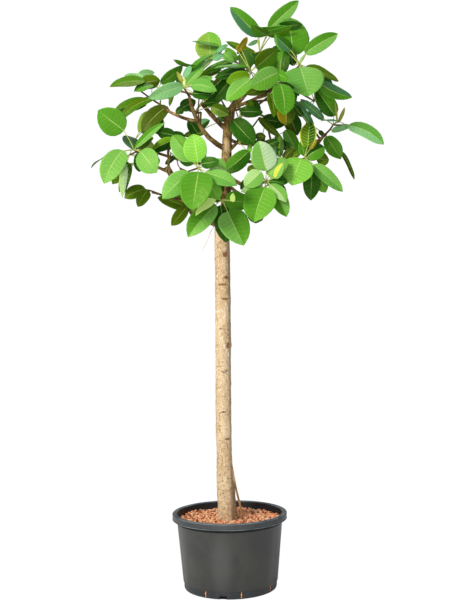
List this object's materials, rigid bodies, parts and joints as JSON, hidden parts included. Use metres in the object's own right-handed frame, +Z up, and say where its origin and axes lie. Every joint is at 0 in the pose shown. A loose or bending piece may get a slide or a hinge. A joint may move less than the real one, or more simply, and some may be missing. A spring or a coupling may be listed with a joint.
{
  "type": "potted standard fig tree",
  "caption": "Single-stem standard fig tree with a bare straight trunk, an open rounded head of large oval leaves, and a round tapered plastic nursery pot topped with clay pebbles.",
  "frame": {"origin": "centre of the pot's flat underside, where it stands on the floor", "axes": "+Z up along the trunk, -Y towards the front of the tree, +X to the right seen from the front"},
  "size_m": [1.02, 0.8719, 2.055],
  "materials": {
    "pot_plastic": "moulded black polypropylene, satin, faint dust and fine vertical scuffs, rim slightly worn",
    "clay_pebbles": "loose orange-brown fired clay granules, matt and dusty",
    "trunk_bark": "pale beige bark with lighter flecks, brown blotches and faint ring scars",
    "crown_bark": "dark olive-brown bark with pale flecks on the boughs, darker twigs",
    "leaf": "thick smooth leaves, satin green upper side with pale yellow-green veins, duller underside"
  },
  "bodies": {
    "root": {"aerial_root": "trunk_bark", "back_right_bough": "crown_bark", "centre_left_bough": "crown_bark", "centre_right_bough": "crown_bark", "cut_bough": "crown_bark", "foliage_back_right": "leaf", "foliage_centre_left": "leaf", "foliage_centre_right": "leaf", "foliage_front_left": "leaf", "foliage_front_low": "leaf", "foliage_front_right": "leaf", "foliage_left_fan": "leaf", "foliage_left_inner": "leaf", "foliage_left_shelf": "leaf", "foliage_low_left": "leaf", "foliage_low_right": "leaf", "foliage_rear_left": "leaf", "foliage_rear_low_left": "leaf", "foliage_rear_low_right": "leaf", "foliage_rear_mid": "leaf", "foliage_rear_right": "leaf", "foliage_rear_top": "leaf", "foliage_rear_upper_left": "leaf", "foliage_right_front": "leaf", "foliage_right_tip": "leaf", "foliage_top_front": "leaf", "foliage_top_left": "leaf", "foliage_top_middle": "leaf", "foliage_top_right": "leaf", "foliage_upper_left": "leaf", "foliage_whip": "leaf", "front_left_bough": "crown_bark", "front_low_bough": "crown_bark", "front_right_bough": "crown_bark", "leader_stub": "crown_bark", "left_fan_bough": "crown_bark", "left_inner_bough": "crown_bark", "left_shelf_bough": "crown_bark", "low_left_bough": "crown_bark", "low_left_twig": "crown_bark", "low_right_bough": "crown_bark", "pot": "pot_plastic", "rear_left_bough": "crown_bark", "rear_low_left_bough": "crown_bark", "rear_low_right_bough": "crown_bark", "rear_mid_bough": "crown_bark", "rear_right_bough": "crown_bark", "rear_top_bough": "crown_bark", "rear_upper_left_bough": "crown_bark", "right_front_bough": "crown_bark", "right_tip_bough": "crown_bark", "root_ball": "clay_pebbles", "top_front_bough": "crown_bark", "top_left_bough": "crown_bark", "top_middle_bough": "crown_bark", "top_right_bough": "crown_bark", "trunk": "trunk_bark", "upper_left_bough": "crown_bark", "upper_stem": "crown_bark", "whip_bough": "crown_bark"}
  },
  "joints": []
}
